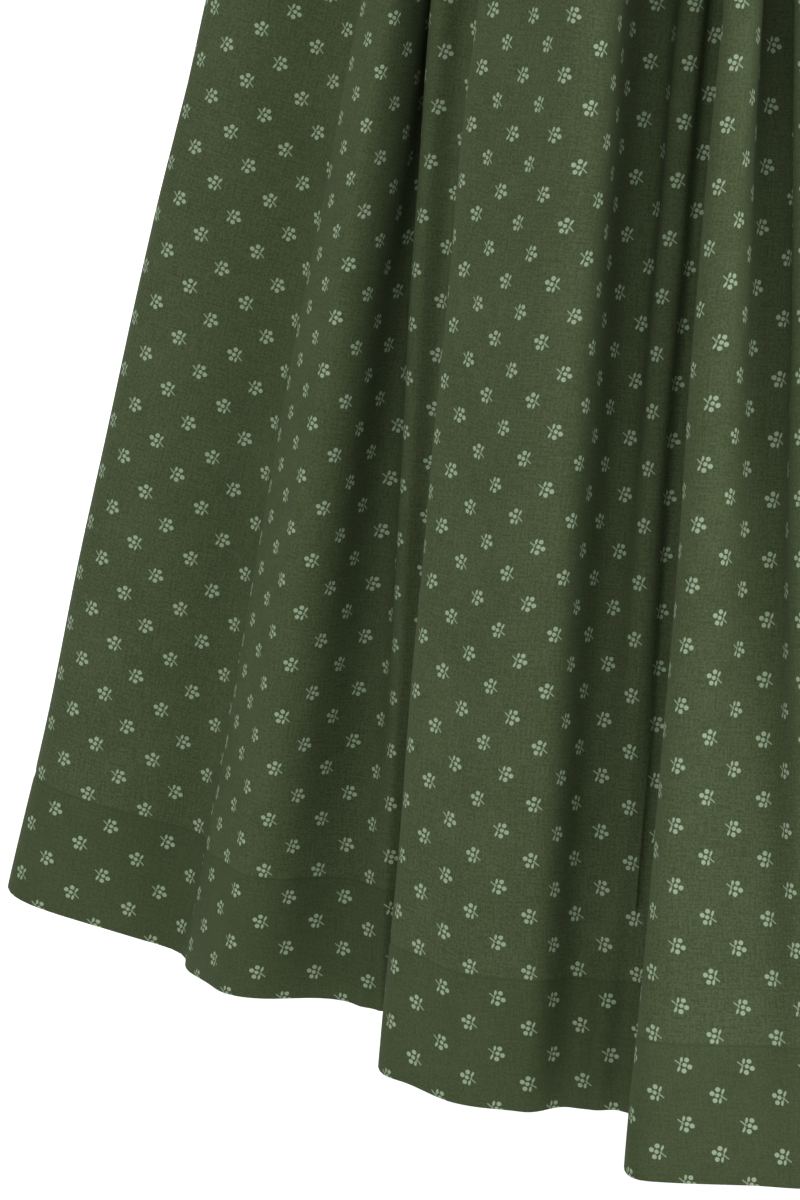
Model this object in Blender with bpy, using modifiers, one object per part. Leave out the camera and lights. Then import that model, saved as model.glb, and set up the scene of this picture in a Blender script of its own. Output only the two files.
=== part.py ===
"""Dirndl dress: a fitted bodice with princess seams, buttoned down the front, sewn to a
full skirt that is gathered into the waist seam and falls in large rolled folds.

The dress hangs as it is worn, filled out and empty. The front faces -Y, the wearer's right
is at -X, and the origin is at shoulder height, midway between the shoulder straps.
"""
import math
from collections import namedtuple

import bpy
import numpy as np

MM = 0.001
FULL_TURN = 360.0

# Driving dimensions, in metres.
CLOTH = 0.0015              # wall of every cloth panel
SEAM_GAP = 0.0003           # between pieces that meet at a seam
SKIRT_SET_BACK = 0.00021    # what each side of a seam is pulled in, to leave that gap
BODICE_SET_BACK = 0.00040   # more, because these walls' inner faces lean together
SHOULDER_HEIGHT = 0.0
CHEST_HEIGHT = -0.200       # underarm
WAIST_HEIGHT = -0.420
SKIRT_LENGTH = 0.660

# The skirt's outline: half width and half depth at a drop below the waist are the waist's,
# plus a steady flare, plus a puff that the gathers give within PUFF_REACH of the seam.
WAIST_HALF_WIDTH, SIDE_FLARE, SIDE_PUFF = 0.130, 0.203, 0.075
WAIST_HALF_DEPTH, FRONT_FLARE, FRONT_PUFF = 0.097, 0.135, 0.114
PUFF_REACH = 0.070
HIGH_DROP = 0.200           # drop at which the folds' "high" columns hold
ROLL = 1.15                 # how far a fold's crown rolls over before it turns in
DEEPENING = 0.8             # above HIGH_DROP the folds deepen as this power of the drop
RUN_ON = -0.2               # how far above HIGH_DROP their lines keep their lean
CENTRE_BACK_IN = 2.0        # mm inside the outline
SKIRT_DROPS = (0.0, 0.02, 0.055, 0.11, HIGH_DROP, 0.33, 0.49, SKIRT_LENGTH)
STEPS_PER_FLANK = 4

# One row a fold, from the centre front round the wearer's right side to the centre back.
# Angles are in degrees from the front; depths are in mm inside the skirt's outline; high is
# at HIGH_DROP, low is at the hem; rise is how far the hem kicks up there, in mm.
Fold = namedtuple(
    "Fold",
    "crown_high crown_high_in crown_low crown_low_in"
    " valley_high valley_high_in valley_low valley_low_in crown_rise valley_rise",
)
FOLDS = (
    Fold(0.6, 2, 0.0, 0, 4.3, 28, 5.0, 3, 0, 0),
    Fold(8.0, 0, 12.6, 2, 13.2, 56, 19.2, 74, 0, 0),
    Fold(15.1, 50, 21.8, 71, 20.0, 61, 23.8, 69, 0, 1),
    Fold(25.0, 12, 27.6, 57, 33.5, 22, 34.0, 52, 2, 3),
    Fold(38.4, 28, 39.4, 50, 47.5, 52, 52.9, 112, 8, 8),
    Fold(50.6, 44, 54.4, 108, 60.0, 73, 56.4, 104, 8, 9),
    Fold(55.6, 33, 64.8, 60, 70.5, 46, 74.5, 63, 14, 11),
    Fold(82.0, 0, 85.0, 1, 88.0, 46, 90.0, 36, 27, 25),
    Fold(97.0, 4, 98.0, 3, 102.5, 58, 103.0, 50, 24, 20),
    Fold(114.0, 8, 115.0, 9, 119.5, 52, 121.0, 42, 18, 14),
    Fold(133.0, 3, 134.0, 2, 138.0, 60, 139.0, 54, 10, 8),
    Fold(150.0, 7, 151.0, 8, 155.5, 50, 157.0, 40, 5, 4),
    Fold(167.0, 2, 168.0, 1, 171.5, 50, 173.5, 38, 2, 2),
)
SIDE_SEAM_FOLD = 7          # the side seam lies in the valley of this fold
# The wearer's left side hangs alike but not the same: its folds stray by these much.
STRAY_ANGLE, STRAY_DEPTH = 1.6, 0.16
STRAY_ANGLE_BEAT, STRAY_DEPTH_BEAT = 2.1, 1.3

# The bodice: half width, front depth and back depth at each height of a general figure.
Girth = namedtuple("Girth", "height half_width front back")
GIRTHS = (
    Girth(WAIST_HEIGHT, WAIST_HALF_WIDTH, WAIST_HALF_DEPTH, WAIST_HALF_DEPTH),
    Girth(-0.350, 0.134, 0.104, 0.101),
    Girth(-0.270, 0.147, 0.131, 0.109),
    Girth(CHEST_HEIGHT, 0.153, 0.125, 0.112),
)
SHOULDER_HALF_WIDTH = 0.176

# Edges of the bodice's panels, each a seam and the strap edge that carries it on. An angle
# is in degrees from the front; a level is 0 at the waist, 1 at the chest and 2 on top of
# the shoulder.
Edge = namedtuple("Edge", "level angle")
SHOULDER_SEAM = 1.994
PRINCESS_FRONT = (Edge(0.0, 24), Edge(0.68, 34), Edge(0.93, 36))
PRINCESS_BACK = (Edge(0.0, 152), Edge(0.68, 147), Edge(1.12, 146))
SIDE_SEAM = (Edge(0.0, 90), Edge(0.45, 90), Edge(0.90, 90))
STRAP_FRONT_IN = (Edge(1.15, 35), Edge(1.5, 29), Edge(SHOULDER_SEAM, 26))
STRAP_FRONT_OUT = (Edge(0.97, 76), Edge(1.12, 62), Edge(1.45, 51), Edge(SHOULDER_SEAM, 45))
STRAP_BACK_IN = (Edge(1.3, 148), Edge(1.6, 152), Edge(SHOULDER_SEAM, 154))
STRAP_BACK_OUT = (Edge(0.97, 104), Edge(1.12, 118), Edge(1.45, 129), Edge(SHOULDER_SEAM, 135))
NECKLINE_FRONT = (Edge(0.84, 0), Edge(0.855, 18), Edge(0.93, 36))
NECKLINE_BACK = (Edge(1.02, 180), Edge(1.05, 163), Edge(1.12, 146))
SEAM_ROWS = 10
STRAP_ROWS = 7
STRAP_CROWDING = 1.3        # a strap's rows stand closer where it leaves the body
SIDE_COLUMNS = 4
FRONT_COLUMNS = 6
BACK_COLUMNS = 9
BUTTON_STAND = 6.0          # degrees that each front reaches past the centre
LAP_RAISE = CLOTH + 2 * SEAM_GAP
LAP_EASE = (10.0, 20.0)     # the right front comes back to the body between these angles

BUTTON_COUNT = 7
BUTTON_RADIUS = 0.0065
BUTTON_THICKNESS = 0.0028
BUTTON_SIDES = 16
BUTTON_EDGE = 0.0006        # rounding
BUTTON_PITCH = 0.025
BUTTON_SHANK = 0.0008       # thread between the button and the cloth
TOP_BUTTON_HEIGHT = -0.251
LEAN_STEP = 0.02            # step of level over which the body's lean is measured

COTTON_GREEN, COTTON_ROUGHNESS = (0.067, 0.094, 0.044, 1.0), 0.9
BUTTON_COLOUR, BUTTON_ROUGHNESS = (0.060, 0.070, 0.040, 1.0), 0.45


def clear_scene():
    for obj in list(bpy.data.objects):
        bpy.data.objects.remove(obj, do_unlink=True)


def make_collection(name):
    collection = bpy.data.collections.new(name)
    bpy.context.scene.collection.children.link(collection)
    return collection


def make_material(name, colour, roughness):
    material = bpy.data.materials.new(name)
    material.use_nodes = True
    shader = material.node_tree.nodes["Principled BSDF"]
    shader.inputs["Base Color"].default_value = colour
    shader.inputs["Roughness"].default_value = roughness
    shader.inputs["Metallic"].default_value = 0.0
    return material


def smooth_curve(x, xs, ys):
    """A smooth curve through the points (xs, ys) that never overshoots them: cubic pieces,
    whose slope at each point is the harmonic mean of the slopes on its two sides, or level
    where those differ in sign."""
    xs = np.asarray(xs, float)
    ys = np.asarray(ys, float)
    rise = np.diff(ys) / np.diff(xs)
    same_way = rise[:-1] * rise[1:] > 0
    total = np.where(same_way, rise[:-1] + rise[1:], 1.0)
    inner = np.where(same_way, 2 * rise[:-1] * rise[1:] / total, 0.0)
    slopes = np.concatenate([rise[:1], inner, rise[-1:]])
    i = np.clip(np.searchsorted(xs, x) - 1, 0, len(xs) - 2)
    span = xs[i + 1] - xs[i]
    w = (x - xs[i]) / span
    start = (1 + 2 * w) * (1 - w) ** 2 * ys[i] + w * (1 - w) ** 2 * span * slopes[i]
    end = w**2 * (3 - 2 * w) * ys[i + 1] + w**2 * (w - 1) * span * slopes[i + 1]
    return start + end


def smooth_step(value, low, high):
    """0 below low, 1 above high, and a smooth rise between them."""
    w = np.clip((value - low) / (high - low), 0, 1)
    return w * w * (3 - 2 * w)


def cloth_wall(name, points, material, collection):
    """A panel from a grid of points (rows, columns, xyz): rows go down and columns go round
    by the wearer's right, so that its face is outwards and Solidify adds the wall inside."""
    rows, columns = points.shape[:2]
    index = np.arange(rows * columns).reshape(rows, columns)
    faces = np.stack(
        [index[:-1, :-1], index[:-1, 1:], index[1:, 1:], index[1:, :-1]], axis=-1
    ).reshape(-1, 4)
    mesh = bpy.data.meshes.new(name)
    mesh.from_pydata(points.reshape(-1, 3).tolist(), [], faces.tolist())
    mesh.materials.append(material)
    mesh.shade_smooth()
    panel = bpy.data.objects.new(name, mesh)
    collection.objects.link(panel)
    wall = panel.modifiers.new("wall", "SOLIDIFY")
    wall.thickness = CLOTH
    wall.offset = -1.0
    return panel


# Skirt ---------------------------------------------------------------------------------


def skirt_outline(drop):
    """Half width and half depth of the skirt's outline at a drop below the waist."""
    puff = 1 - math.exp(-drop / PUFF_REACH)
    half_width = WAIST_HALF_WIDTH + SIDE_FLARE * drop + SIDE_PUFF * puff
    half_depth = WAIST_HALF_DEPTH + FRONT_FLARE * drop + FRONT_PUFF * puff
    return half_width, half_depth


def fold_lines(drop):
    """Angle, depth and hem rise of every crown and valley at this drop, all the way round
    from the centre front, by the wearer's right side."""
    along = np.clip((drop - HIGH_DROP) / (SKIRT_LENGTH - HIGH_DROP), RUN_ON, 1)
    deepening = min(1.0, drop / HIGH_DROP) ** DEEPENING
    lines = []
    for fold in FOLDS:
        for high, high_in, low, low_in, rise in (
            (fold.crown_high, fold.crown_high_in, fold.crown_low, fold.crown_low_in,
             fold.crown_rise),
            (fold.valley_high, fold.valley_high_in, fold.valley_low, fold.valley_low_in,
             fold.valley_rise),
        ):
            angle = high + (low - high) * along
            depth = (high_in + (low_in - high_in) * along) * deepening
            lines.append((angle, depth, rise * (drop / SKIRT_LENGTH) ** 2))
    right = np.array(lines)
    k = np.arange(1, len(right))
    left = right[1:].copy()
    left[:, 0] = FULL_TURN - left[:, 0] + STRAY_ANGLE * np.sin(STRAY_ANGLE_BEAT * k)
    left[:, 1] *= 1 + STRAY_DEPTH * np.sin(STRAY_DEPTH_BEAT * k + 1)
    centre_back = np.array([[FULL_TURN / 2, CENTRE_BACK_IN * deepening, 0.0]])
    return np.concatenate([right, centre_back, left[::-1]])


def skirt_section(drop):
    """The skirt's plan at this drop: a closed curve through the crowns and valleys, which
    leaves each of them along the outline, so that a crown rolls over its own flank."""
    angle, depth, rise = fold_lines(drop).T
    half_width, half_depth = skirt_outline(drop)
    turn = np.radians(angle)
    radius = 1 / np.hypot(np.sin(turn) / half_width, np.cos(turn) / half_depth)
    radius -= depth * MM
    line = np.stack([-radius * np.sin(turn), -radius * np.cos(turn)], axis=1)
    along = np.stack([-half_width * np.cos(turn), half_depth * np.sin(turn)], axis=1)
    along /= np.linalg.norm(along, axis=1, keepdims=True)
    line_next, along_next = np.roll(line, -1, axis=0), np.roll(along, -1, axis=0)
    reach = ROLL * np.linalg.norm(line_next - line, axis=1)[:, None, None]
    w = (np.arange(STEPS_PER_FLANK) / STEPS_PER_FLANK)[None, :, None]
    plan = (
        (2 * w**3 - 3 * w**2 + 1) * line[:, None]
        + (w**3 - 2 * w**2 + w) * reach * along[:, None]
        + (3 * w**2 - 2 * w**3) * line_next[:, None]
        + (w**3 - w**2) * reach * along_next[:, None]
    )
    blend = (3 * w**2 - 2 * w**3)[:, :, 0]
    rises = rise[:, None] * (1 - blend) + np.roll(rise, -1)[:, None] * blend
    points = np.zeros((plan.shape[0] * STEPS_PER_FLANK, 3))
    points[:, :2] = plan.reshape(-1, 2)
    points[:, 2] = WAIST_HEIGHT - SEAM_GAP - drop + rises.reshape(-1) * MM
    return points


def skirt_panels():
    """Front and back grids, cut at the side seams and set back from them by half a gap."""
    rings = np.stack([skirt_section(drop) for drop in SKIRT_DROPS])
    right_seam = (2 * SIDE_SEAM_FOLD + 1) * STEPS_PER_FLANK
    left_seam = rings.shape[1] - right_seam
    back = rings[:, right_seam : left_seam + 1]
    front = np.concatenate([rings[:, left_seam:], rings[:, : right_seam + 1]], axis=1)
    return [trim_sides(grid, SKIRT_SET_BACK, SKIRT_SET_BACK) for grid in (front, back)]


def trim_sides(grid, first, last):
    """Pulls a grid's first and last columns in along the cloth."""
    grid = grid.copy()
    for edge, inner, pull in ((0, 1, first), (-1, -2, last)):
        step = grid[:, inner] - grid[:, edge]
        grid[:, edge] += pull * step / np.linalg.norm(step, axis=1, keepdims=True)
    return grid


# Bodice --------------------------------------------------------------------------------


def body_point(level, angle):
    """A point of the bodice's surface. Up to the chest it lies on ellipses of the figure's
    girths; above it, the depth closes over the shoulder along a quarter circle."""
    level, angle = np.broadcast_arrays(np.asarray(level, float), np.asarray(angle, float))
    heights = [girth.height for girth in GIRTHS]
    low = np.clip(level, 0, 1)
    height = WAIST_HEIGHT + (CHEST_HEIGHT - WAIST_HEIGHT) * low
    over = np.radians(90 * np.clip(level - 1, 0, 1))
    half_width = smooth_curve(height, heights, [girth.half_width for girth in GIRTHS])
    half_width = half_width + (SHOULDER_HALF_WIDTH - GIRTHS[-1].half_width) * np.sin(over)
    front = smooth_curve(height, heights, [girth.front for girth in GIRTHS])
    back = smooth_curve(height, heights, [girth.back for girth in GIRTHS])
    turn = np.radians(angle)
    depth = np.where(np.cos(turn) > 0, front, back) * np.cos(over)
    x = -half_width * np.sin(turn)
    y = -depth * np.cos(turn)
    z = height + (SHOULDER_HEIGHT - CHEST_HEIGHT) * np.sin(over)
    return np.stack([x, y, z], axis=-1)


def edge_angle(level, edges):
    """The angle of a panel's edge at a level."""
    return smooth_curve(level, [e.level for e in edges], [e.angle for e in edges])


def side_edge(seam, strap):
    """Levels and angles up a side panel's edge: even steps up its seam, then steps that
    grow along its strap."""
    top = seam[-1].level
    share = (np.arange(1, STRAP_ROWS + 1) / STRAP_ROWS) ** STRAP_CROWDING
    level = np.concatenate(
        [np.linspace(0, top, SEAM_ROWS + 1), top + (SHOULDER_SEAM - top) * share]
    )
    return level, edge_angle(level, seam + strap)


def side_grid(first, second):
    """A side panel with its strap, spanned between its two edges, from the shoulder down."""
    share = np.linspace(0, 1, SIDE_COLUMNS + 1)[None, :]
    level = first[0][:, None] * (1 - share) + second[0][:, None] * share
    angle = first[1][:, None] * (1 - share) + second[1][:, None] * share
    return body_point(level, angle)[::-1]


def centre_grid(angle, neckline, seam, centre):
    """A centre panel's points and angles. Its rows fall from the neckline to the waist, and
    its columns draw in towards the centre line as the princess seam does."""
    from_centre = np.abs(angle - centre)[None, :]
    neck = smooth_curve(
        from_centre, [abs(e.angle - centre) for e in neckline], [e.level for e in neckline]
    )
    level = neck * np.linspace(1, 0, SEAM_ROWS + 1)[:, None]
    narrowing = np.abs(edge_angle(level, seam) - centre) / abs(neckline[-1].angle - centre)
    return level, centre + (angle - centre)[None, :] * narrowing


def front_grid(lapped):
    """The right front, from the button stand to the princess seam. The lapped one stands
    off the other at the centre."""
    columns = np.linspace(0, NECKLINE_FRONT[-1].angle, FRONT_COLUMNS)
    columns = np.concatenate([[-BUTTON_STAND], columns])
    level, angle = centre_grid(columns, NECKLINE_FRONT, PRINCESS_FRONT + STRAP_FRONT_IN, 0.0)
    points = body_point(level, angle)
    if lapped:
        points[..., 1] -= LAP_RAISE * (1 - smooth_step(angle, *LAP_EASE))
    return points


def back_grid():
    """The back, between the two princess seams."""
    seam_top = NECKLINE_BACK[-1].angle
    columns = np.linspace(seam_top, FULL_TURN - seam_top, BACK_COLUMNS)
    level, angle = centre_grid(columns, NECKLINE_BACK, PRINCESS_BACK + STRAP_BACK_IN,
                               FULL_TURN / 2)
    return body_point(level, angle)


def mirrored(grid):
    """The wearer's left copy of a right-hand grid, with its faces still outwards."""
    return (grid * np.array([-1.0, 1.0, 1.0]))[:, ::-1]


def make_buttons(material, collection):
    """Flat round buttons down the centre front, each lying on the lapped front."""
    for k in range(BUTTON_COUNT):
        height = TOP_BUTTON_HEIGHT - k * BUTTON_PITCH
        level = (height - WAIST_HEIGHT) / (CHEST_HEIGHT - WAIST_HEIGHT)
        here, above = body_point(level, 0.0), body_point(level + LEAN_STEP, 0.0)
        lean = math.atan2(above[1] - here[1], above[2] - here[2])
        lift = LAP_RAISE + BUTTON_SHANK + BUTTON_THICKNESS / 2
        bpy.ops.mesh.primitive_cylinder_add(
            vertices=BUTTON_SIDES,
            radius=BUTTON_RADIUS,
            depth=BUTTON_THICKNESS,
            location=(0.0, here[1] - lift * math.cos(lean), here[2] + lift * math.sin(lean)),
            rotation=(math.pi / 2 - lean, 0.0, 0.0),
        )
        button = bpy.context.active_object
        button.name = f"button_{k + 1}"
        button.data.name = button.name
        button.data.materials.append(material)
        for owner in list(button.users_collection):
            owner.objects.unlink(button)
        collection.objects.link(button)
        edge = button.modifiers.new("rounded edge", "BEVEL")
        edge.width = BUTTON_EDGE
        edge.segments = 1
        edge.limit_method = "ANGLE"


def build_dress():
    clear_scene()
    dress = make_collection("dirndl_dress")
    cotton = make_material("printed cotton", COTTON_GREEN, COTTON_ROUGHNESS)
    horn = make_material("button", BUTTON_COLOUR, BUTTON_ROUGHNESS)

    skirt_front, skirt_back = skirt_panels()
    cloth_wall("skirt_front", skirt_front, cotton, dress)
    cloth_wall("skirt_back", skirt_back, cotton, dress)

    set_back = BODICE_SET_BACK
    lapped_front = trim_sides(front_grid(True), 0.0, set_back)
    under_front = trim_sides(front_grid(False), 0.0, set_back)
    side_front = trim_sides(
        side_grid(
            side_edge(PRINCESS_FRONT, STRAP_FRONT_IN), side_edge(SIDE_SEAM, STRAP_FRONT_OUT)
        ),
        set_back,
        set_back,
    )
    side_back = trim_sides(
        side_grid(
            side_edge(SIDE_SEAM, STRAP_BACK_OUT), side_edge(PRINCESS_BACK, STRAP_BACK_IN)
        ),
        set_back,
        set_back,
    )
    back = trim_sides(back_grid(), set_back, set_back)
    cloth_wall("bodice_front_right", lapped_front, cotton, dress)
    cloth_wall("bodice_front_left", mirrored(under_front), cotton, dress)
    cloth_wall("bodice_side_front_right", side_front, cotton, dress)
    cloth_wall("bodice_side_front_left", mirrored(side_front), cotton, dress)
    cloth_wall("bodice_side_back_right", side_back, cotton, dress)
    cloth_wall("bodice_side_back_left", mirrored(side_back), cotton, dress)
    cloth_wall("bodice_back", back, cotton, dress)

    make_buttons(horn, dress)


build_dress()
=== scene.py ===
"""The looks of a dirndl dress: printed cotton skirt in rolled folds, princess-seam bodice and
its buttons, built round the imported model. Metres, +Z up, the front of the dress at -Y.
"""
import math
from collections import namedtuple

import bpy
import numpy as np
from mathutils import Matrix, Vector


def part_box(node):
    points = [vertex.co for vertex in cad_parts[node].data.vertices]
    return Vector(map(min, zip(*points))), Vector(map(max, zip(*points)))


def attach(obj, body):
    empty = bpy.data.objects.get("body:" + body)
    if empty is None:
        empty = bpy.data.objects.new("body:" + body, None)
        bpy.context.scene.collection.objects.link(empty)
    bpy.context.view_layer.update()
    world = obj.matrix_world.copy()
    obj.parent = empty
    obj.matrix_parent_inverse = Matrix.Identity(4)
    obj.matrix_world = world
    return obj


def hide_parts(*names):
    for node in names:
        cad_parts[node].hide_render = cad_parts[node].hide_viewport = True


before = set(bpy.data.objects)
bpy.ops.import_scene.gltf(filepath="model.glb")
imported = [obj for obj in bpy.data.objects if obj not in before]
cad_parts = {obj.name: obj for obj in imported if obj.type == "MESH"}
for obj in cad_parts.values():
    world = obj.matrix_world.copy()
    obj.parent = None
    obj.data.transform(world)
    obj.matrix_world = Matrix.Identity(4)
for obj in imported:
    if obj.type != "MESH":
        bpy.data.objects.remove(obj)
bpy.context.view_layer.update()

# --- Skirt: the cloth's form -------------------------------------------------------------
# Two widths of light printed cotton, joined at the sides and gathered by hand into the waist
# seam. The gathers run out within a hand's length and the cloth drops in large soft folds,
# whose crowns roll over their own flanks.

MM = 0.001
WAIST_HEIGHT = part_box("bodice_back")[0][2]
SKIRT_LENGTH = 0.660
HIGH_DROP = 0.200
SIDE_SEAM_FOLD = 7
FLANK_STEPS = 18

Fold = namedtuple(
    "Fold",
    "crown_high crown_high_in crown_low crown_low_in"
    " valley_high valley_high_in valley_low valley_low_in crown_rise valley_rise",
)
FOLDS = (
    Fold(0.6, 2, 0.0, 0, 4.3, 28, 5.0, 3, 0, 0),
    Fold(8.0, 0, 12.6, 2, 13.2, 56, 19.2, 74, 0, 0),
    Fold(15.1, 50, 21.8, 71, 20.0, 61, 23.8, 69, 0, 1),
    Fold(25.0, 12, 27.6, 57, 33.5, 22, 34.0, 52, 2, 3),
    Fold(38.4, 28, 39.4, 50, 47.5, 52, 52.9, 112, 8, 8),
    Fold(50.6, 44, 54.4, 108, 60.0, 73, 56.4, 104, 8, 9),
    Fold(55.6, 33, 64.8, 60, 70.5, 46, 74.5, 63, 14, 11),
    Fold(82.0, 0, 85.0, 1, 88.0, 46, 90.0, 36, 27, 25),
    Fold(97.0, 4, 98.0, 3, 102.5, 58, 103.0, 50, 24, 20),
    Fold(114.0, 8, 115.0, 9, 119.5, 52, 121.0, 42, 18, 14),
    Fold(133.0, 3, 134.0, 2, 138.0, 60, 139.0, 54, 10, 8),
    Fold(150.0, 7, 151.0, 8, 155.5, 50, 157.0, 40, 5, 4),
    Fold(167.0, 2, 168.0, 1, 171.5, 50, 173.5, 38, 2, 2),
)


def smooth_step(value, low, high):
    """0 below low, 1 above high, and between them 3w^2 - 2w^3 of the way w across."""
    w = np.clip((value - low) / (high - low), 0, 1)
    return w * w * (3 - 2 * w)


def skirt_outline(drop):
    """Half width and half depth at a drop below the waist: the waist's, a steady flare, and
    the gathers' puff, which closes on its full size as 1 - exp(-drop / 70 mm)."""
    puff = 1 - np.exp(-drop / 0.070)
    return 0.130 + 0.203 * drop + 0.075 * puff, 0.097 + 0.135 * drop + 0.114 * puff


def fold_lines(drop):
    """Angle, depth in mm and hem rise in mm of every crown and valley, for a column of
    drops: straight lines between the high and low places, right side, back, left side."""
    table = np.array(FOLDS, float)
    crowns, valleys = table[:, [0, 1, 2, 3, 8]], table[:, [4, 5, 6, 7, 9]]
    right = np.stack([crowns, valleys], axis=1).reshape(-1, 5)
    along = np.clip((drop - HIGH_DROP) / (SKIRT_LENGTH - HIGH_DROP), -0.2, 1)[:, None]
    deepening = np.minimum(1.0, drop / HIGH_DROP)[:, None] ** 0.8
    angle = right[:, 0] + (right[:, 2] - right[:, 0]) * along
    depth = (right[:, 1] + (right[:, 3] - right[:, 1]) * along) * deepening
    rise = right[:, 4] * (drop[:, None] / SKIRT_LENGTH) ** 2
    k = np.arange(1, right.shape[0])
    left_angle = 360.0 - angle[:, 1:] + 1.6 * np.sin(2.1 * k)
    left_depth = depth[:, 1:] * (1 + 0.16 * np.sin(1.3 * k + 1))
    back = np.ones((len(drop), 1))
    return (
        np.concatenate([angle, 180.0 * back, left_angle[:, ::-1]], axis=1),
        np.concatenate([depth, 2.0 * deepening, left_depth[:, ::-1]], axis=1),
        np.concatenate([rise, 0.0 * back, rise[:, 1:][:, ::-1]], axis=1),
    )


def skirt_sections(drop):
    """The skirt's closed plan at each drop, as points (drops, columns, xyz): cubic arcs
    between crowns and valleys, which leave each line along the outline's own direction."""
    angle, depth, rise = fold_lines(drop)
    half_width, half_depth = (size[:, None] for size in skirt_outline(drop))
    turn = np.radians(angle)
    radius = 1 / np.hypot(np.sin(turn) / half_width, np.cos(turn) / half_depth) - depth * MM
    line = np.stack([-radius * np.sin(turn), -radius * np.cos(turn)], axis=-1)
    along = np.stack([-half_width * np.cos(turn), half_depth * np.sin(turn)], axis=-1)
    along /= np.linalg.norm(along, axis=-1, keepdims=True)
    line_next, along_next = np.roll(line, -1, axis=1), np.roll(along, -1, axis=1)
    reach = 1.15 * np.linalg.norm(line_next - line, axis=-1)[:, :, None, None]
    w = (np.arange(FLANK_STEPS) / FLANK_STEPS)[None, None, :, None]
    plan = (
        (2 * w**3 - 3 * w**2 + 1) * line[:, :, None]
        + (w**3 - 2 * w**2 + w) * reach * along[:, :, None]
        + (3 * w**2 - 2 * w**3) * line_next[:, :, None]
        + (w**3 - w**2) * reach * along_next[:, :, None]
    )
    blend = (3 * w**2 - 2 * w**3)[..., 0]
    rises = rise[:, :, None] * (1 - blend) + np.roll(rise, -1, axis=1)[:, :, None] * blend
    points = np.zeros((len(drop), angle.shape[1] * FLANK_STEPS, 3))
    points[..., :2] = plan.reshape(len(drop), -1, 2)
    points[..., 2] = WAIST_HEIGHT - drop[:, None] + rises.reshape(len(drop), -1) * MM
    return points


def surface_normals(points):
    """Outward unit normals of a grid whose rows go down and whose columns go round by the
    wearer's right: the cross product of its two central differences."""
    down = np.gradient(points, axis=0)
    across = np.gradient(points, axis=1)
    normal = np.cross(across, down)
    return normal / np.maximum(np.linalg.norm(normal, axis=-1, keepdims=True), 1e-12)


def run_length(points, axis):
    """Distance travelled along one axis of a grid, from its first row or column."""
    step = np.linalg.norm(np.diff(points, axis=axis), axis=-1)
    return np.concatenate([np.zeros_like(np.take(step, [0], axis=axis)), step.cumsum(axis)], axis)


Crease = namedtuple("Crease", "across top bottom lean width height")
FRONT_CREASES = (
    Crease(0.476, -0.10, 0.90, 0.000, 0.013, -6.5),
    Crease(0.535, 0.02, 0.34, 0.012, 0.016, -4.4),
    Crease(0.520, 0.40, 0.62, 0.012, 0.018, 1.0),
    Crease(0.402, -0.10, 0.78, 0.004, 0.017, 5.0),
    Crease(0.300, 0.18, 0.46, 0.014, 0.013, 1.2),
    Crease(0.325, 0.40, 0.64, -0.008, 0.014, -1.0),
    Crease(0.236, -0.05, 0.80, -0.008, 0.024, 5.0),
    Crease(0.1585, 0.00, 0.85, 0.012, 0.007, 3.0),
    Crease(0.095, 0.20, 0.52, 0.018, 0.012, 1.2),
    Crease(0.049, 0.00, 0.62, -0.002, 0.010, -4.0),
    Crease(0.026, 0.00, 0.62, 0.000, 0.011, 3.0),
    Crease(-0.060, 0.18, 0.42, 0.012, 0.012, 1.4),
    Crease(-0.160, 0.30, 0.60, -0.012, 0.014, -1.6),
    Crease(-0.270, 0.20, 0.48, 0.010, 0.012, 1.5),
    Crease(-0.400, 0.26, 0.62, -0.010, 0.015, -1.8),
    Crease(-0.520, 0.17, 0.38, -0.016, 0.012, 1.6),
)
BACK_CREASES = (
    Crease(-0.580, 0.20, 0.46, 0.012, 0.013, 1.7),
    Crease(-0.440, 0.28, 0.60, -0.010, 0.015, -1.6),
    Crease(-0.300, 0.18, 0.40, 0.016, 0.012, 1.5),
    Crease(-0.130, 0.30, 0.62, 0.008, 0.014, -1.5),
    Crease(0.050, 0.19, 0.50, -0.014, 0.013, 1.6),
    Crease(0.210, 0.32, 0.60, 0.010, 0.014, -1.4),
    Crease(0.360, 0.20, 0.44, -0.012, 0.012, 1.8),
    Crease(0.520, 0.26, 0.58, 0.012, 0.015, -1.7),
)


def crease_height(across, drop, creases):
    """Soft troughs and ridges in mm: each is a bell curve across the cloth, which leans as
    it runs down and fades in and out over the third of its length at each end."""
    height = np.zeros_like(across)
    for crease in creases:
        length = crease.bottom - crease.top
        centre = crease.across + crease.lean * (drop - crease.top) / length
        fade_in = smooth_step(drop, crease.top, crease.top + length / 3)
        fade_out = 1 - smooth_step(drop, crease.bottom - length / 3, crease.bottom)
        bell = np.exp(-(((across - centre) / crease.width) ** 2))
        height += crease.height * bell * fade_in * fade_out
    return height


def gather_height(across, drop, fullness):
    """Hand gathers in metres. Where fullness metres of cloth lie in one metre of seam, waves
    whose slope is sqrt(2 (fullness^2 - 1)) take it up: narrow ones by the seam, which run
    into waves twice as wide below it. Their widths and heights wander along the seam."""
    slope = np.sqrt(2 * np.maximum(fullness**2 - 1, 0))
    narrow = 1 - smooth_step(drop, 0.015, 0.085)
    height = np.zeros_like(across)
    for pitch, share, drift in ((0.0125, narrow, 0.0), (0.0270, 1 - narrow, 1.9)):
        wander = 0.9 * np.sin(across / 0.031 + drift) + 0.6 * np.sin(across / 0.0137 + 2 * drift)
        uneven = 1 + 0.28 * np.sin(across / 0.0211 + 3 * drift)
        wave = np.sin(2 * np.pi * across / pitch + wander)
        tall = pitch / (2 * np.pi * np.maximum(fullness, 1))
        height += slope * np.sqrt(share) * tall * uneven * wave
    pressed = 0.35 + 0.65 * smooth_step(drop, 0.0, 0.012)
    return height * pressed


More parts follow.
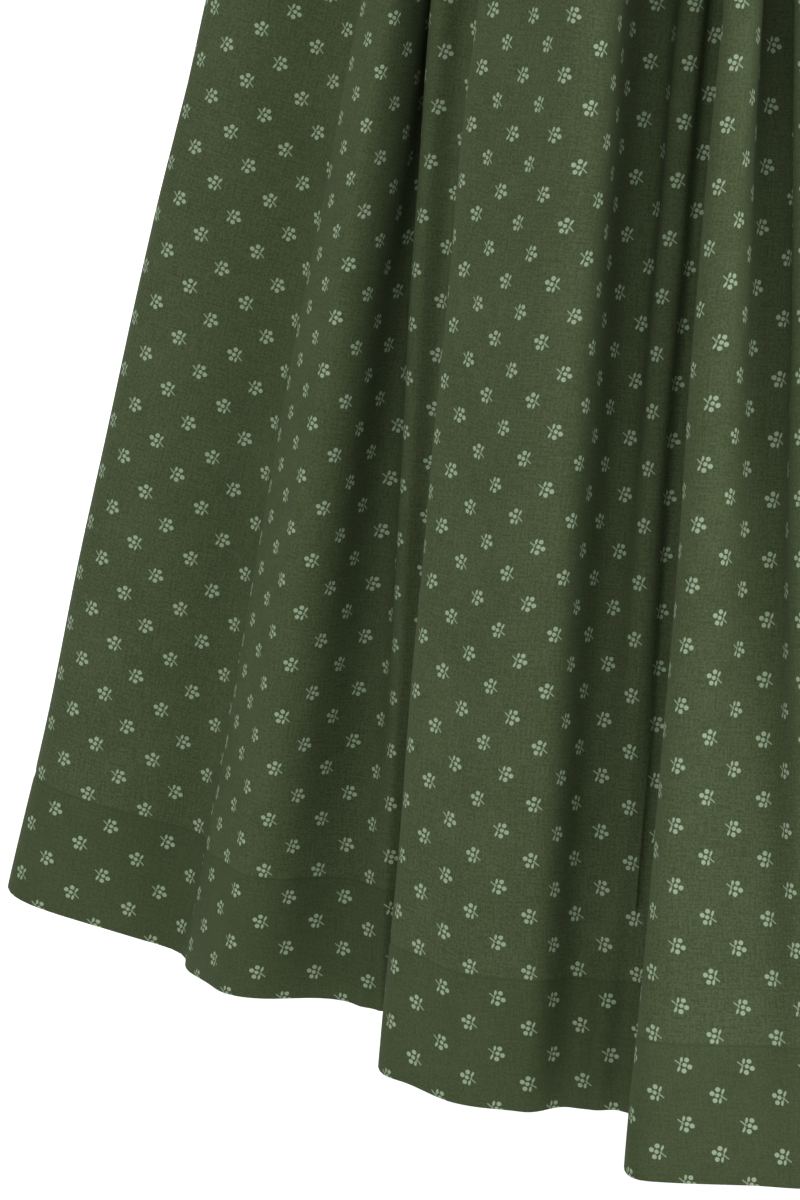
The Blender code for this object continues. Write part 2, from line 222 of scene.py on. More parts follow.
def soft_height(across, down):
    """The slight unevenness of washed cotton, in metres: three crossed waves, 4 to 13 cm
    long, under half a millimetre high."""
    return 0.00022 * (
        np.sin(across / 0.0091 + down / 0.033)
        + np.sin(across / 0.0143 - down / 0.021 + 1.3)
        + 1.2 * np.sin(across / 0.0207 + down / 0.047 + 2.1)
    )


CUT_LENGTH = 0.700          # waist seam to hem fold, along the cloth
HEM_DEPTH = 0.056
HEM_LIFT = 0.0011           # from the face of the cloth to the far face of the turn-up
SKIRT_CLOTH = 0.0005
hem_stitch_drops = SKIRT_LENGTH - HEM_DEPTH + np.array([-0.004, -0.0015, 0.0, 0.0015, 0.004])
skirt_drops = np.union1d(SKIRT_LENGTH * np.linspace(0, 1, 70) ** 1.35, hem_stitch_drops)


def along_cloth(points, cloth_width):
    """The length run along each row of a width, seen from above, and the place that it has
    on the cut cloth, in metres from its middle. Rows in the gathers keep the places of the
    first row below them."""
    arc = run_length(points[..., :2], 1)
    share = arc / arc[:, -1:]
    high_row = np.searchsorted(skirt_drops, HIGH_DROP)
    share[:high_row] = share[high_row]
    return arc, (share - 0.5) * cloth_width


def skirt_width(first, last, cloth_width, creases):
    """One width of the skirt between two columns of the ring: its points with creases,
    gathers and the turned-up hem, and its UV in metres, measured from its middle along the
    creased cloth and up from the hem fold."""
    ring = skirt_sections(skirt_drops)
    count = ring.shape[1]
    points = ring[:, np.arange(first, last + 1) % count]
    drop = skirt_drops[:, None] * np.ones((1, points.shape[1]))
    _, across = along_cloth(points, cloth_width)
    shift = crease_height(across, drop, creases) * MM
    points = points + surface_normals(points) * shift[..., None]
    arc, across = along_cloth(points, cloth_width)
    fullness = np.gradient(across, axis=1) / np.gradient(arc, axis=1)
    down = run_length(points, 0)
    down *= CUT_LENGTH / down[-1:]
    up = CUT_LENGTH - down

    normal = surface_normals(points)
    lift = gather_height(across, drop, fullness)
    lift += soft_height(across, down) * smooth_step(drop, 0.03, 0.12)
    lift -= 0.0004 * np.exp(-(((up - HEM_DEPTH) / 0.0022) ** 2))
    lift -= 0.0012 * (1 - smooth_step(drop, 0.0, 0.006))
    points = points + normal * lift[..., None]

    turn_rows = np.flatnonzero(skirt_drops >= SKIRT_LENGTH - HEM_DEPTH)[::-1][1:]
    normal = surface_normals(points)
    fold_angle = np.radians([45.0, 90.0, 135.0])[:, None, None]
    round_in = (1 - np.cos(fold_angle)) * HEM_LIFT / 2
    fold_rows = points[-1] - normal[-1] * round_in
    fold_rows[..., 2] -= (np.sin(fold_angle) * HEM_LIFT / 2)[..., 0]
    inner_rows = points[turn_rows] - normal[turn_rows] * HEM_LIFT
    inner_rows = np.concatenate([(points[-1] - normal[-1] * HEM_LIFT)[None], inner_rows])
    points = np.concatenate([points, fold_rows, inner_rows])
    fold_up = -0.0004 * np.array([1.0, 2.0, 3.0])[:, None] * np.ones((1, points.shape[1]))
    inner_up = -np.concatenate([up[-1:], up[turn_rows]]) - 0.0016
    across = across[list(range(len(up))) + [-1] * 4 + list(turn_rows)]
    up = np.concatenate([up, fold_up, inner_up])
    return points, np.stack([across, up], axis=-1)


def cloth_object(name, points, uv, thickness, face, reverse):
    """A grid (rows, columns, xyz) with a UV map in metres, made a mesh whose face is
    outwards, given its thickness inwards and a paler reverse."""
    rows, columns = points.shape[:2]
    index = np.arange(rows * columns).reshape(rows, columns)
    corners = [index[:-1, :-1], index[:-1, 1:], index[1:, 1:], index[1:, :-1]]
    faces = np.stack(corners, axis=-1).reshape(-1, 4)
    mesh = bpy.data.meshes.new(name)
    mesh.vertices.add(rows * columns)
    mesh.vertices.foreach_set("co", points.reshape(-1).astype(np.float32))
    mesh.loops.add(faces.size)
    mesh.loops.foreach_set("vertex_index", faces.reshape(-1).astype(np.int32))
    mesh.polygons.add(len(faces))
    mesh.polygons.foreach_set("loop_start", np.arange(0, faces.size, 4, dtype=np.int32))
    mesh.polygons.foreach_set("use_smooth", np.ones(len(faces), dtype=bool))
    layer = mesh.uv_layers.new(name="cloth")
    corner_uv = uv.reshape(-1, 2)[faces.reshape(-1)].astype(np.float32)
    layer.data.foreach_set("uv", corner_uv.reshape(-1))
    mesh.update(calc_edges=True)
    mesh.validate()
    mesh.materials.append(face)
    mesh.materials.append(reverse)
    piece = bpy.data.objects.new(name, mesh)
    bpy.context.scene.collection.objects.link(piece)
    wall = piece.modifiers.new("cloth", "SOLIDIFY")
    wall.thickness = thickness
    wall.offset = -1.0
    wall.material_offset = 1
    return piece


# --- Printed cotton ----------------------------------------------------------------------
# A light plain-weave cotton, dyed dark moss green and printed in pale sage with a small
# sprig: four round blossoms and two leaves on a short stem. The sprigs stand in rows 24 mm
# apart, every other one turned half round and dropped by half a repeat.


def node(tree, kind, **settings):
    """A new node of a tree, with its properties set."""
    made = tree.nodes.new(kind)
    for key, value in settings.items():
        setattr(made, key, value)
    return made


def calc(tree, operation, *values):
    """A Math node on numbers or sockets; gives its output socket."""
    made = node(tree, "ShaderNodeMath", operation=operation)
    for socket, value in zip(made.inputs, values):
        if isinstance(value, (int, float)):
            socket.default_value = value
        else:
            tree.links.new(value, socket)
    return made.outputs[0]


def vector_calc(tree, operation, *values, output=0):
    """A Vector Math node on triples or sockets; gives one output socket."""
    made = node(tree, "ShaderNodeVectorMath", operation=operation)
    for socket, value in zip(made.inputs, values):
        if isinstance(value, tuple):
            socket.default_value = value
        else:
            tree.links.new(value, socket)
    return made.outputs[output]


def soft_edge(tree, distance, edge, blur):
    """1 where distance is under edge - blur, 0 over edge + blur, smooth between."""
    made = node(tree, "ShaderNodeMapRange", interpolation_type="SMOOTHSTEP")
    tree.links.new(distance, made.inputs["Value"])
    made.inputs["From Min"].default_value = edge - blur
    made.inputs["From Max"].default_value = edge + blur
    made.inputs["To Min"].default_value = 1.0
    made.inputs["To Max"].default_value = 0.0
    return made.outputs["Result"]


def new_group(name, inputs, outputs):
    """A shader node group with named sockets; gives the tree, its input and its output."""
    tree = bpy.data.node_groups.new(name, "ShaderNodeTree")
    for label, kind, value in inputs:
        socket = tree.interface.new_socket(label, in_out="INPUT", socket_type=kind)
        if value is not None:
            socket.default_value = value
    for label, kind in outputs:
        tree.interface.new_socket(label, in_out="OUTPUT", socket_type=kind)
    return tree, node(tree, "NodeGroupInput").outputs, node(tree, "NodeGroupOutput").inputs


Blossom = namedtuple("Blossom", "x y radius")
BLOSSOMS = (
    Blossom(0.0, 0.0, 0.85),
    Blossom(-2.0, -0.7, 0.98),
    Blossom(-0.9, 2.1, 0.95),
    Blossom(0.3, -2.4, 0.98),
)
Leaf = namedtuple("Leaf", "x y tilt half_width half_length")
LEAVES = (Leaf(1.15, 2.2, 8.0, 0.52, 1.05), Leaf(2.3, -1.7, 24.0, 0.48, 1.15))
Stalk = namedtuple("Stalk", "x0 y0 x1 y1 half_width")
STALKS = (
    Stalk(1.5, 0.1, 3.5, 1.7, 0.27),
    Stalk(1.8, 0.3, 1.4, 1.5, 0.20),
    Stalk(1.8, 0.3, 2.1, -1.0, 0.20),
)


def sprig_group():
    """Mask of one sprig about the origin, from a place in mm: the largest of its blossoms
    (discs), leaves (discs stretched along their tilt) and stalks (distance to a segment)."""
    tree, given, result = new_group(
        "sprig", [("Place", "NodeSocketVector", None)], [("Mask", "NodeSocketFloat")]
    )
    place = given["Place"]
    masks = []
    for blossom in BLOSSOMS:
        away = vector_calc(tree, "DISTANCE", place, (blossom.x, blossom.y, 0.0), output=1)
        masks.append(soft_edge(tree, away, blossom.radius, 0.16))
    for leaf in LEAVES:
        turned = node(tree, "ShaderNodeMapping", vector_type="TEXTURE")
        tree.links.new(place, turned.inputs["Vector"])
        turned.inputs["Location"].default_value = (leaf.x, leaf.y, 0.0)
        turned.inputs["Rotation"].default_value = (0.0, 0.0, math.radians(leaf.tilt))
        turned.inputs["Scale"].default_value = (leaf.half_width, leaf.half_length, 1.0)
        away = vector_calc(tree, "LENGTH", turned.outputs[0], output=1)
        masks.append(soft_edge(tree, away, 1.0, 0.25))
    for stalk in STALKS:
        run = (stalk.x1 - stalk.x0, stalk.y1 - stalk.y0, 0.0)
        length_squared = run[0] ** 2 + run[1] ** 2
        start = vector_calc(tree, "SUBTRACT", place, (stalk.x0, stalk.y0, 0.0))
        along = calc(
            tree, "DIVIDE", vector_calc(tree, "DOT_PRODUCT", start, run, output=1), length_squared
        )
        scaled = node(tree, "ShaderNodeVectorMath", operation="SCALE")
        scaled.inputs[0].default_value = run
        tree.links.new(calc(tree, "MINIMUM", calc(tree, "MAXIMUM", along, 0.0), 1.0),
                       scaled.inputs["Scale"])
        away = vector_calc(tree, "DISTANCE", start, scaled.outputs[0], output=1)
        masks.append(calc(tree, "MULTIPLY", soft_edge(tree, away, stalk.half_width, 0.14), 0.75))
    mask = masks[0]
    for other in masks[1:]:
        mask = calc(tree, "MAXIMUM", mask, other)
    tree.links.new(mask, result["Mask"])
    return tree


def sprig_print_group(sprig):
    """Mask of the printed repeat from a UV in metres: the place within its own cell, as
    p - repeat * round(p / repeat), for upright sprigs on the corners of the repeat and for
    turned ones in its middle. A little noise frays the printed edges."""
    tree, given, result = new_group(
        "sprig print",
        [
            ("Cloth", "NodeSocketVector", None),
            ("Repeat", "NodeSocketVector", (24.5, 24.0, 1.0)),
            ("Fraying", "NodeSocketFloat", 0.25),
        ],
        [("Mask", "NodeSocketFloat")],
    )
    place = vector_calc(tree, "MULTIPLY", given["Cloth"], (1000.0, 1000.0, 0.0))
    noise = node(tree, "ShaderNodeTexNoise", noise_dimensions="2D")
    noise.inputs["Scale"].default_value = 1.1
    noise.inputs["Detail"].default_value = 2.0
    tree.links.new(place, noise.inputs["Vector"])
    shift = vector_calc(tree, "SUBTRACT", noise.outputs["Color"], (0.5, 0.5, 0.5))
    frayed = node(tree, "ShaderNodeVectorMath", operation="SCALE")
    tree.links.new(shift, frayed.inputs[0])
    tree.links.new(given["Fraying"], frayed.inputs["Scale"])
    place = vector_calc(tree, "ADD", place, frayed.outputs[0])
    place = vector_calc(tree, "MULTIPLY", place, (1.0, 1.0, 0.0))
    masks = []
    for shifted, turn in ((0.0, 1.0), (0.5, -1.0)):
        cell = vector_calc(tree, "DIVIDE", place, given["Repeat"])
        cell = vector_calc(tree, "ADD", cell, (0.5 + shifted, 0.5 + shifted, 0.0))
        cell = vector_calc(tree, "FRACTION", cell)
        cell = vector_calc(tree, "SUBTRACT", cell, (0.5, 0.5, 0.0))
        cell = vector_calc(tree, "MULTIPLY", cell, given["Repeat"])
        cell = vector_calc(tree, "MULTIPLY", cell, (turn, turn, 0.0))
        motif = node(tree, "ShaderNodeGroup", node_tree=sprig)
        tree.links.new(cell, motif.inputs["Place"])
        masks.append(motif.outputs["Mask"])
    tree.links.new(calc(tree, "MAXIMUM", *masks), result["Mask"])
    return tree


def plain_weave_group():
    """Height and tone of a plain weave from a UV in metres. Height is the product of two
    sines, one a pair of threads long each way; tone comes from noise drawn out along the
    warp and along the weft, as uneven yarns are."""
    tree, given, result = new_group(
        "plain weave",
        [("Cloth", "NodeSocketVector", None), ("Thread mm", "NodeSocketFloat", 0.42)],
        [("Height", "NodeSocketFloat"), ("Tone", "NodeSocketFloat")],
    )
    place = vector_calc(tree, "MULTIPLY", given["Cloth"], (1000.0, 1000.0, 0.0))
    split = node(tree, "ShaderNodeSeparateXYZ")
    tree.links.new(place, split.inputs[0])
    waves = []
    for axis in (0, 1):
        turns = calc(tree, "DIVIDE", split.outputs[axis], given["Thread mm"])
        waves.append(calc(tree, "SINE", calc(tree, "MULTIPLY", turns, math.pi)))
    height = calc(tree, "MULTIPLY", *waves)
    tree.links.new(height, result["Height"])
    tones = []
    for stretch in ((1.6, 0.10, 1.0), (0.10, 1.6, 1.0)):
        yarn = node(tree, "ShaderNodeTexNoise", noise_dimensions="2D")
        yarn.inputs["Scale"].default_value = 1.0
        yarn.inputs["Detail"].default_value = 3.0
        tree.links.new(vector_calc(tree, "MULTIPLY", place, stretch), yarn.inputs["Vector"])
        tones.append(yarn.outputs["Fac"])
    tone = calc(tree, "MULTIPLY", calc(tree, "ADD", *tones), 0.5)
    tree.links.new(tone, result["Tone"])
    return tree


SPRIG_PRINT = sprig_print_group(sprig_group())
PLAIN_WEAVE = plain_weave_group()
GREEN_DYE = (0.0405, 0.0565, 0.0240, 1.0)
GREEN_DYE_WORN = (0.0660, 0.0868, 0.0420, 1.0)
FLECKS_PER_METRE, FLECK_CONTRAST = 950.0, 2.2
# Painted shade of the turned-up hem: the shares of painted shade over the hem band and at the edge
# of the turn-up, the width of that painted shade line, and the darker green it is painted with.
DOUBLED_SHADE, TURN_UP_SHADE, TURN_UP_LINE = 0.42, 0.9, 0.0012
GREEN_PAINTED_HEM_SHADE = (0.0392, 0.0545, 0.0232, 1.0)
SAGE_INK = (0.2600, 0.3380, 0.2280, 1.0)


def mix_colours(tree, factor, first, second):
    """A Mix node between two colours or sockets; gives its colour socket."""
    made = node(tree, "ShaderNodeMix", data_type="RGBA")
    for socket, value in zip((made.inputs[0], made.inputs[6], made.inputs[7]),
                             (factor, first, second)):
        if isinstance(value, (int, float, tuple)):
            socket.default_value = value
        else:
            tree.links.new(value, socket)
    return made.outputs[2]


def printed_cotton(name, ink_strength, hem=0.0):
    """The cotton's material. ink_strength is 1 on its face and less on its reverse, where
    the print only shows through. Below hem metres the cloth is turned up in two layers, and it is
    painted a little darker there as shade, darkest in a painted shade line along the edge of the
    turn-up."""
    material = bpy.data.materials.new(name)
    material.use_nodes = True
    tree = material.node_tree
    shader = tree.nodes["Principled BSDF"]
    cloth = node(tree, "ShaderNodeUVMap", uv_map="cloth").outputs["UV"]
    repeat = node(tree, "ShaderNodeGroup", node_tree=SPRIG_PRINT)
    weave = node(tree, "ShaderNodeGroup", node_tree=PLAIN_WEAVE)
    tree.links.new(cloth, repeat.inputs["Cloth"])
    tree.links.new(cloth, weave.inputs["Cloth"])
    patch = node(tree, "ShaderNodeTexNoise", noise_dimensions="2D")
    patch.inputs["Scale"].default_value = 28.0
    patch.inputs["Detail"].default_value = 2.0
    tree.links.new(cloth, patch.inputs["Vector"])
    wear = calc(tree, "MULTIPLY_ADD", weave.outputs["Tone"], 2.6, -0.80)
    wear = calc(tree, "MULTIPLY_ADD", calc(tree, "SUBTRACT", patch.outputs["Fac"], 0.5), 0.5, wear)
    fleck = node(tree, "ShaderNodeTexNoise", noise_dimensions="2D")
    fleck.inputs["Scale"].default_value = FLECKS_PER_METRE
    fleck.inputs["Detail"].default_value = 2.0
    tree.links.new(cloth, fleck.inputs["Vector"])
    flecks = calc(tree, "SUBTRACT", fleck.outputs["Fac"], 0.5)
    wear = calc(tree, "MULTIPLY_ADD", flecks, FLECK_CONTRAST, wear)
    ground = mix_colours(tree, wear, GREEN_DYE, GREEN_DYE_WORN)
    if hem:
        split = node(tree, "ShaderNodeSeparateXYZ")
        tree.links.new(cloth, split.inputs[0])
        # Painted shade: the turned-up hem band is painted a little darker, and a narrow line along
        # the edge of the turn-up is painted darker still.
        above = calc(tree, "SUBTRACT", split.outputs["Y"], hem)
        hem_band_shade = calc(tree, "MULTIPLY", calc(tree, "LESS_THAN", above, 0.0), DOUBLED_SHADE)
        edge = calc(tree, "MULTIPLY", calc(tree, "ABSOLUTE", above), -1 / TURN_UP_LINE)
        edge = calc(tree, "MAXIMUM", calc(tree, "ADD", edge, TURN_UP_SHADE), hem_band_shade)
        ground = mix_colours(tree, edge, ground, GREEN_PAINTED_HEM_SHADE)
    ink = calc(tree, "MULTIPLY_ADD", weave.outputs["Tone"], 0.35, 0.76)
    ink = calc(tree, "MULTIPLY", calc(tree, "MULTIPLY", ink, repeat.outputs["Mask"]), ink_strength)
    tree.links.new(mix_colours(tree, ink, ground, SAGE_INK), shader.inputs["Base Color"])
    rough = calc(tree, "MULTIPLY_ADD", weave.outputs["Tone"], 0.12, 0.80)
    tree.links.new(rough, shader.inputs["Roughness"])
    bump = node(tree, "ShaderNodeBump")
    bump.inputs["Strength"].default_value = 0.35
    bump.inputs["Distance"].default_value = 0.0001
    tree.links.new(weave.outputs["Height"], bump.inputs["Height"])
    tree.links.new(bump.outputs["Normal"], shader.inputs["Normal"])
    shader.inputs["Specular IOR Level"].default_value = 0.06
    shader.inputs["Sheen Weight"].default_value = 0.015
    shader.inputs["Sheen Roughness"].default_value = 0.55
    shader.inputs["Sheen Tint"].default_value = (0.75, 0.85, 0.65, 1.0)
    return material


COTTON_FACE = printed_cotton("printed cotton", 1.0)
COTTON_REVERSE = printed_cotton("printed cotton reverse", 0.18)


# --- Skirt widths ------------------------------------------------------------------------
# The front and the back width, each cut straight, gathered at the top and sewn to the other
# in a side valley. Each has its own hem, turned up once and blind-stitched 56 mm above.

FRONT_WIDTH, BACK_WIDTH = 1.215, 1.380
# The skirt's face material, with painted shade over the turned-up hem band and along the edge of
# the turn-up.
HEMMED_FACE_WITH_PAINTED_SHADE = printed_cotton("printed cotton, hemmed, painted hem shade", 1.0, HEM_DEPTH)
side_seam = (2 * SIDE_SEAM_FOLD + 1) * FLANK_STEPS
whole_ring = 2 * 2 * len(FOLDS) * FLANK_STEPS
for name, first, last, cloth_width, creases in (
    ("skirt_front", whole_ring - side_seam, whole_ring + side_seam, FRONT_WIDTH, FRONT_CREASES),
    ("skirt_back", side_seam, whole_ring - side_seam, BACK_WIDTH, BACK_CREASES),
):
    points, uv = skirt_width(first, last, cloth_width, creases)
    piece = cloth_object("cloth_" + name, points, uv, SKIRT_CLOTH, HEMMED_FACE_WITH_PAINTED_SHADE, COTTON_REVERSE)
    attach(piece, "root")
    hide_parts(name)


# --- Bodice panels -----------------------------------------------------------------------
# Seven panels of the same cotton, cut to shape and sewn edge to edge, with princess seams
# that take the waist in and the bust out. The straps are cut in one with the side panels.
# Necklines and armholes are turned under and topstitched 2.5 mm from their edges.

Girth = namedtuple("Girth", "height half_width front back")
CHEST_HEIGHT = -0.200
SHOULDER_HALF_WIDTH = 0.176
GIRTHS = (
    Girth(-0.420, 0.130, 0.097, 0.097),
    Girth(-0.350, 0.134, 0.104, 0.101),
    Girth(-0.270, 0.147, 0.131, 0.109),
    Girth(CHEST_HEIGHT, 0.153, 0.125, 0.112),
)
Edge = namedtuple("Edge", "level angle")
SHOULDER_SEAM = 1.994
PRINCESS_FRONT = (Edge(0.0, 24), Edge(0.68, 34), Edge(0.93, 36))
PRINCESS_BACK = (Edge(0.0, 152), Edge(0.68, 147), Edge(1.12, 146))
SIDE_SEAM = (Edge(0.0, 90), Edge(0.45, 90), Edge(0.90, 90))
STRAP_FRONT_IN = (Edge(1.15, 35), Edge(1.5, 29), Edge(SHOULDER_SEAM, 26))
STRAP_FRONT_OUT = (Edge(0.97, 76), Edge(1.12, 62), Edge(1.45, 51), Edge(SHOULDER_SEAM, 45))
STRAP_BACK_IN = (Edge(1.3, 148), Edge(1.6, 152), Edge(SHOULDER_SEAM, 154))
STRAP_BACK_OUT = (Edge(0.97, 104), Edge(1.12, 118), Edge(1.45, 129), Edge(SHOULDER_SEAM, 135))
NECKLINE_FRONT = (Edge(0.84, 0), Edge(0.855, 18), Edge(0.93, 36))
NECKLINE_BACK = (Edge(1.02, 180), Edge(1.05, 163), Edge(1.12, 146))
BUTTON_STAND = 6.0
LAP_RAISE = 0.0021
LAP_EASE = (10.0, 20.0)
PANEL_ROWS, PANEL_COLUMNS = 110, 64
BODICE_CLOTH = 0.0007
SEAM_GAP = 0.0002


def smooth_curve(x, xs, ys):
    """A smooth curve through the points (xs, ys) that never overshoots them: cubic pieces
    whose slope at a point is the harmonic mean of the slopes on its sides, or level where
    those differ in sign."""
    xs, ys = np.asarray(xs, float), np.asarray(ys, float)
    rise = np.diff(ys) / np.diff(xs)
    same_way = rise[:-1] * rise[1:] > 0
    total = np.where(same_way, rise[:-1] + rise[1:], 1.0)
    inner = np.where(same_way, 2 * rise[:-1] * rise[1:] / total, 0.0)
    slopes = np.concatenate([rise[:1], inner, rise[-1:]])
    i = np.clip(np.searchsorted(xs, x) - 1, 0, len(xs) - 2)
    span = xs[i + 1] - xs[i]
    w = (x - xs[i]) / span
    start = (1 + 2 * w) * (1 - w) ** 2 * ys[i] + w * (1 - w) ** 2 * span * slopes[i]
    end = w**2 * (3 - 2 * w) * ys[i + 1] + w**2 * (w - 1) * span * slopes[i + 1]
    return start + end


def body_point(level, angle):
    """A point of the bodice: up to level 1, the chest, on ellipses of the girths; from
    there to level 2 its depth closes over the shoulder as a cosine while its height rises
    as a sine. The front is eased out 9 mm along the princess seams for the bust."""
    heights = [girth.height for girth in GIRTHS]
    height = WAIST_HEIGHT + (CHEST_HEIGHT - WAIST_HEIGHT) * np.clip(level, 0, 1)
    over = np.radians(90 * np.clip(level - 1, 0, 1))
    half_width = smooth_curve(height, heights, [girth.half_width for girth in GIRTHS])
    half_width = half_width + (SHOULDER_HALF_WIDTH - GIRTHS[-1].half_width) * np.sin(over)
    front = smooth_curve(height, heights, [girth.front for girth in GIRTHS])
    back = smooth_curve(height, heights, [girth.back for girth in GIRTHS])
    turn = np.radians(angle)
    ease = 0.009 * np.exp(-(((np.abs(angle) - 32) / 20) ** 2) - ((level - 0.76) / 0.22) ** 2)
    depth = np.where(np.cos(turn) > 0, front, back) * np.cos(over)
    x = -(half_width + ease) * np.sin(turn)
    y = -(depth + ease) * np.cos(turn)
    return np.stack([x, y, height - CHEST_HEIGHT * np.sin(over)], axis=-1)


def crowded(count):
    """Places from 0 to 1 that crowd together at both ends, as (1 - cos) / 2."""
    return (1 - np.cos(np.linspace(0, math.pi, count))) / 2


def edge_angle(level, edges):
    """The angle of a panel's edge at a level."""
    return smooth_curve(level, [e.level for e in edges], [e.angle for e in edges])


def side_edge(seam, strap):
    """Levels and angles down a side panel's edge: its strap for the upper half of the rows
    and its seam for the lower half."""
    run = 1 - crowded(PANEL_ROWS)
    top = seam[-1].level
    level = np.interp(run, [0.0, 0.5, 1.0], [0.0, top, SHOULDER_SEAM])
    return level[:, None], edge_angle(level, seam + strap)[:, None]


def side_panel(first, second):
    """A side panel's points, spanned evenly in level and angle between its two edges."""
    share = crowded(PANEL_COLUMNS)[None, :]
    level = first[0] * (1 - share) + second[0] * share
    angle = first[1] * (1 - share) + second[1] * share
    return body_point(level, angle)


def centre_panel(columns, neckline, seam, centre):
    """A centre panel's points and angles: rows fall from the neckline to the waist, and
    columns draw in towards the centre line as the princess seam does."""
    from_centre = np.abs(columns - centre)[None, :]
    neck = smooth_curve(
        from_centre, [abs(e.angle - centre) for e in neckline], [e.level for e in neckline]
    )
    level = neck * (1 - crowded(PANEL_ROWS))[:, None]
    narrowing = np.abs(edge_angle(level, seam) - centre) / abs(neckline[-1].angle - centre)
    angle = centre + (columns - centre)[None, :] * narrowing
    return body_point(level, angle), angle


def sewn_panel(points, seams, finished, drag):
    """A panel with its edges worked. sides are first, last, top and bottom. At a seam the
    edge is set back by half a gap and dips 0.9 mm into it, as exp(-(distance / 1.1 mm)^2).
    At a finished edge it rounds in 0.5 mm, and a groove 0.25 mm deep holds the topstitching.
    drag is the height of the soft cross creases where the body bends."""
    across, down = run_length(points, 1), run_length(points, 0)
    away = {
        "first": across,
        "last": across[:, -1:] - across,
        "top": down,
        "bottom": down[-1:] - down,
    }
    lift = drag * np.sin(down / 0.0120 + across / 0.045) * np.sin(across / 0.024 + down / 0.071)
    for side in seams:
        lift -= 0.0009 * np.exp(-((away[side] / 0.0011) ** 2))
    for side in finished:
        lift -= 0.0005 * np.exp(-((away[side] / 0.0008) ** 2))
        lift -= 0.00025 * np.exp(-(((away[side] - 0.0025) / 0.0009) ** 2))
    normal = surface_normals(points)
    worked = points + normal * lift[..., None]
    for side, edge, inner in (("first", 0, 1), ("last", -1, -2)):
        if side in seams:
            step = points[:, inner] - points[:, edge]
            step /= np.linalg.norm(step, axis=-1, keepdims=True)
            fade = np.exp(-((away[side] / 0.0020) ** 2))[..., None]
            worked += SEAM_GAP * step[:, None] * fade
    uv = np.stack([across - across[:, -1:] / 2, down[-1:] - down], axis=-1)
    return worked, uv


def mirrored(points, uv):
    """The wearer's left copy of a right-hand panel, its face still outwards."""
    turned_uv = uv[:, ::-1] * np.array([-1.0, 1.0])
    return points[:, ::-1] * np.array([-1.0, 1.0, 1.0]), turned_uv


def bodice_piece(name, points, uv, flat, area):
    """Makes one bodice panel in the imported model's place of the same name."""
    piece = cloth_object("cloth_" + name, points, uv, BODICE_CLOTH, COTTON_FACE, COTTON_REVERSE)
    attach(piece, "root")
    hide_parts(name)
    return piece


stand = np.linspace(-BUTTON_STAND, 0.0, 14)
to_seam = NECKLINE_FRONT[-1].angle * crowded(PANEL_COLUMNS)
front_columns = np.concatenate([stand[:-1], to_seam[1:]])
FRONT_EDGE = PRINCESS_FRONT + STRAP_FRONT_IN
front_panels = {}
for side, lapped in (("right", True), ("left", False)):
    points, angle = centre_panel(front_columns, NECKLINE_FRONT, FRONT_EDGE, 0.0)
    if lapped:
        points[..., 1] -= LAP_RAISE * (1 - smooth_step(angle, *LAP_EASE))
    points, uv = sewn_panel(points, ("last", "bottom"), ("first", "top"), 0.0003)
    if not lapped:
        points, uv = mirrored(points, uv)
    front_panels[side] = points
    bodice_piece("bodice_front_" + side, points, uv, (0.105, 0.205), 0.0172)

side_fronts = sewn_panel(
    side_panel(side_edge(PRINCESS_FRONT, STRAP_FRONT_IN), side_edge(SIDE_SEAM, STRAP_FRONT_OUT)),
    ("top", "bottom"), ("first", "last"), 0.0005,
)
side_backs = sewn_panel(
    side_panel(side_edge(SIDE_SEAM, STRAP_BACK_OUT), side_edge(PRINCESS_BACK, STRAP_BACK_IN)),
    ("top", "bottom"), ("first", "last"), 0.0005,
)
for name, panel, flat, area in (
    ("bodice_side_front_", side_fronts, (0.125, 0.440), 0.0412),
    ("bodice_side_back_", side_backs, (0.120, 0.440), 0.0390),
):
    bodice_piece(name + "right", *panel, flat, area)
    bodice_piece(name + "left", *mirrored(*panel), flat, area)

back_top = NECKLINE_BACK[-1].angle
back_columns = back_top + (360 - 2 * back_top) * crowded(2 * PANEL_COLUMNS)
points, _ = centre_panel(back_columns, NECKLINE_BACK, PRINCESS_BACK + STRAP_BACK_IN, 180.0)
back_panel = sewn_panel(points, ("first", "last", "bottom"), ("top",), 0.0004)
bodice_piece("bodice_back", *back_panel, (0.190, 0.262), 0.0371)


# --- Topstitching ------------------------------------------------------------------------
# Matching thread, sewn by machine 2.5 mm inside the long edges of the side panels, the back
# and front necklines and the closing edge, ten stitches to the inch.

STITCH_PITCH, STITCH_LENGTH, STITCH_RADIUS = 0.0026, 0.0020, 0.00019


def path_beside(points, side, distance):
    """The line on a panel at a distance from one side: along each row, or each column, the
    point between the two grid points that the distance falls between; and its normals."""
    normal = surface_normals(points)
    grid = np.concatenate([points, normal], axis=-1)
    if side in ("top", "bottom"):
        grid = grid.transpose(1, 0, 2)
    if side in ("last", "bottom"):
        grid = grid[:, ::-1]
    away = run_length(grid[..., :3], 1)
    after = np.clip((away < distance).sum(axis=1), 1, away.shape[1] - 1)
    row = np.arange(len(grid))
    low, high = away[row, after - 1], away[row, after]
    share = ((distance - low) / (high - low))[:, None]
    line = grid[row, after - 1] * (1 - share) + grid[row, after] * share
    return line[:, :3], line[:, 3:]


